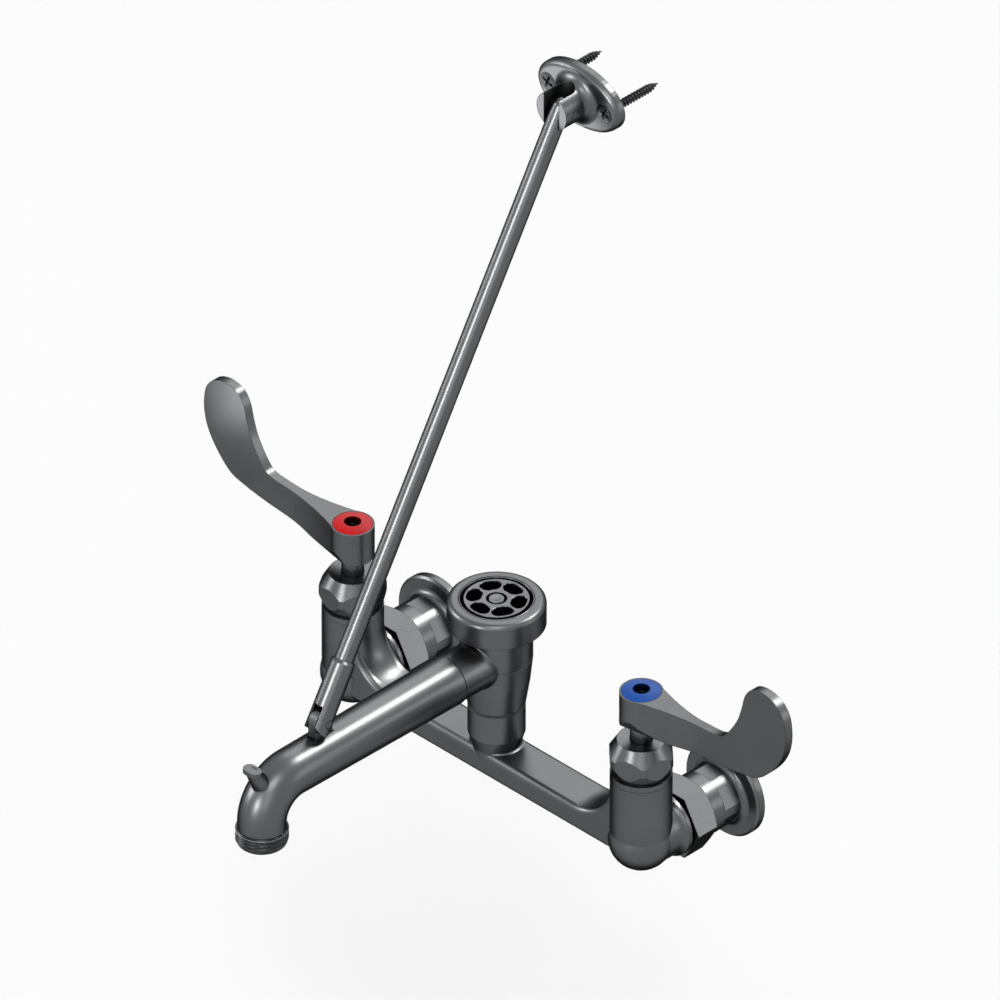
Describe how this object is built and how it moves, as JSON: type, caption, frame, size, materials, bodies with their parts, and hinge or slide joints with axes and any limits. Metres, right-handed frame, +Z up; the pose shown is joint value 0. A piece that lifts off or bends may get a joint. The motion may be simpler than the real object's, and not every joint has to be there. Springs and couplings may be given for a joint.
{
  "type": "service sink faucet",
  "caption": "Wall-mounted service sink faucet with wrist-blade handles, a vacuum breaker tower, a braced spout with a pail hook and a hose outlet.",
  "frame": {"origin": "on the wall face, midway between the axes of the two water inlets", "axes": "+X along the wall to the right, from hot to cold; +Y into the wall; +Z up"},
  "size_m": [0.409, 0.2715, 0.4135],
  "materials": {
    "chrome_casting": "polished chrome plate over cast brass, slightly soft reflections",
    "chrome_bar": "bright chrome plate on drawn bar",
    "brass": "plain machined brass",
    "rubber": "matt black rubber",
    "ceramic": "lapped ceramic",
    "hot_red": "glossy red",
    "cold_blue": "glossy blue",
    "dark_steel": "black oxide, satin",
    "dark_ring": "dark plated, satin"
  },
  "bodies": {
    "faucet": {"body": "chrome_casting", "hot_wall_flange": "chrome_casting", "cold_wall_flange": "chrome_casting", "hot_tailpiece": "brass", "cold_tailpiece": "brass", "hot_inlet_washer": "rubber", "cold_inlet_washer": "rubber", "hot_coupling_nut": "chrome_bar", "cold_coupling_nut": "chrome_bar", "hot_bonnet": "chrome_bar", "cold_bonnet": "chrome_bar", "hot_cartridge": "brass", "cold_cartridge": "brass", "hot_seat_seal": "rubber", "cold_seat_seal": "rubber", "hot_fixed_disc": "ceramic", "cold_fixed_disc": "ceramic", "breaker_gasket": "rubber", "breaker_body": "chrome_casting", "vent_plate": "brass", "breaker_cap": "chrome_casting", "cap_plate": "chrome_casting", "spout_gasket": "rubber", "spout": "chrome_casting", "hose_outlet": "dark_ring", "hose_washer": "rubber"},
    "hot_valve": {"hot_handle": "chrome_casting", "hot_index_ring": "hot_red", "hot_handle_screw": "dark_steel", "hot_stem": "chrome_bar", "hot_moving_disc": "ceramic", "hot_stem_ring": "rubber"},
    "cold_valve": {"cold_handle": "chrome_casting", "cold_index_ring": "cold_blue", "cold_handle_screw": "dark_steel", "cold_stem": "chrome_bar", "cold_moving_disc": "ceramic", "cold_stem_ring": "rubber"},
    "float": {"breaker_float": "brass", "float_lower_seal": "rubber", "float_upper_seal": "rubber"},
    "brace": {"brace_fork": "chrome_bar", "brace_rod": "chrome_bar", "lower_pin": "chrome_bar"},
    "bracket": {"wall_bracket": "chrome_casting", "upper_pin": "chrome_bar", "wall_screws": "dark_steel"}
  },
  "joints": [
    {"name": "hot_handle_turn", "type": "hinge", "parent": "faucet", "child": "hot_valve", "pos_m": [-0.1016, -0.0617, 0.05], "axis": [0, 0, 1], "range_deg": [0, 90]},
    {"name": "cold_handle_turn", "type": "hinge", "parent": "faucet", "child": "cold_valve", "pos_m": [0.1016, -0.0617, 0.05], "axis": [0, 0, 1], "range_deg": [-90, 0]},
    {"name": "float_lift", "type": "slide", "parent": "faucet", "child": "float", "axis": [0, 0, 1], "range_m": [0, 0.0035]},
    {"name": "brace_pivot", "type": "hinge", "parent": "faucet", "child": "brace", "pos_m": [0, -0.1853, 0.083], "axis": [1, 0, 0], "range_deg": [0, 115]},
    {"name": "bracket_pivot", "type": "hinge", "parent": "brace", "child": "bracket", "pos_m": [0, -0.0163, 0.3705], "axis": [1, 0, 0], "range_deg": [-40, 120]}
  ]
}
